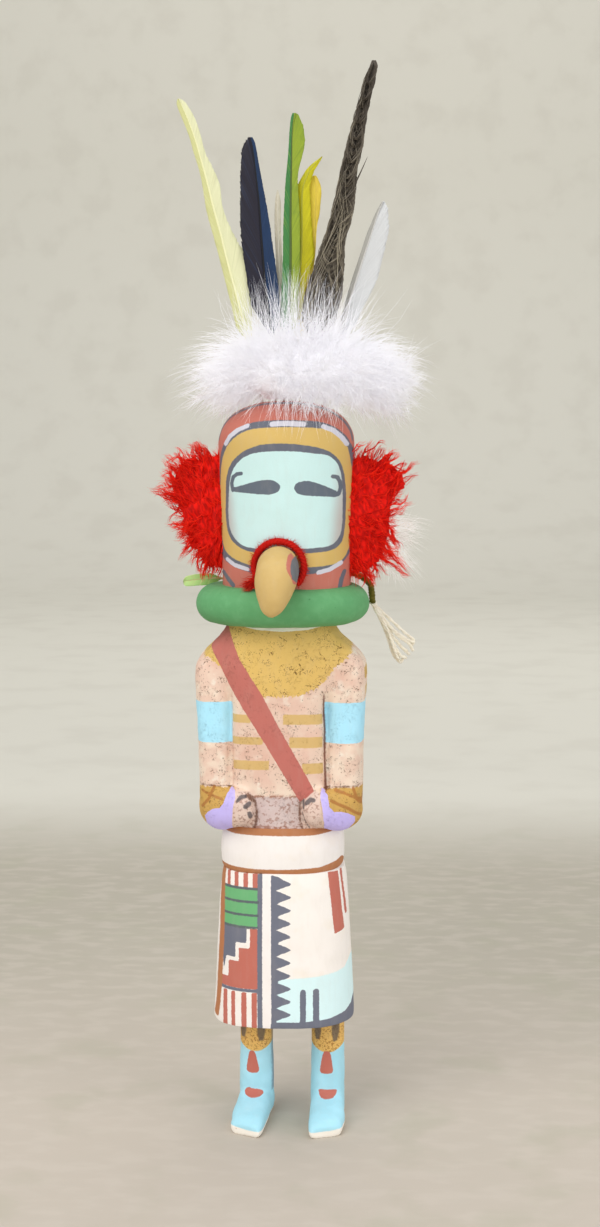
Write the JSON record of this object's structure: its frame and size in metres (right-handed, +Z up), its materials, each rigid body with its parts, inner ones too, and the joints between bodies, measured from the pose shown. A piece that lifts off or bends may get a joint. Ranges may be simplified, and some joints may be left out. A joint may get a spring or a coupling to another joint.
{
  "type": "kachina doll",
  "caption": "Standing carved and painted doll with a cylindrical masked head, hooked beak, thick ruff, kilt, feather crown, white down and red yarn tufts.",
  "frame": {"origin": "on the floor under the middle of the whole part, between the feet", "axes": "+Z up through the head, -Y the way the doll faces, +X the doll's own left side"},
  "size_m": [0.0814, 0.068, 0.3345],
  "materials": {
    "painted_wood": "matte mineral paint",
    "beak_ochre": "matte mineral paint",
    "red_yarn": "fuzzy wool",
    "white_down": "fluffy",
    "feather_pale_yellow": "feather",
    "feather_navy": "feather",
    "feather_beige": "feather",
    "feather_green": "feather",
    "feather_lime": "feather",
    "feather_gold": "feather",
    "feather_brown": "feather",
    "feather_white": "feather",
    "side_feather_green": "feather",
    "binding_olive": "bound thread",
    "cotton_string": "twisted cotton"
  },
  "bodies": {
    "root": {"carved_figure": "painted_wood", "beak": "beak_ochre", "beak_yarn_ring": "red_yarn", "yarn_tuft_right": "red_yarn", "yarn_tuft_left": "red_yarn", "crown_down": "white_down", "feather_pale_yellow": "feather_pale_yellow", "feather_navy": "feather_navy", "feather_beige": "feather_beige", "feather_green": "feather_green", "feather_lime": "feather_lime", "feather_gold": "feather_gold", "feather_brown": "feather_brown", "feather_white": "feather_white", "side_feather_green": "side_feather_green", "side_plume_white": "white_down", "pendant_binding": "binding_olive", "string_tassel": "cotton_string"}
  },
  "joints": []
}
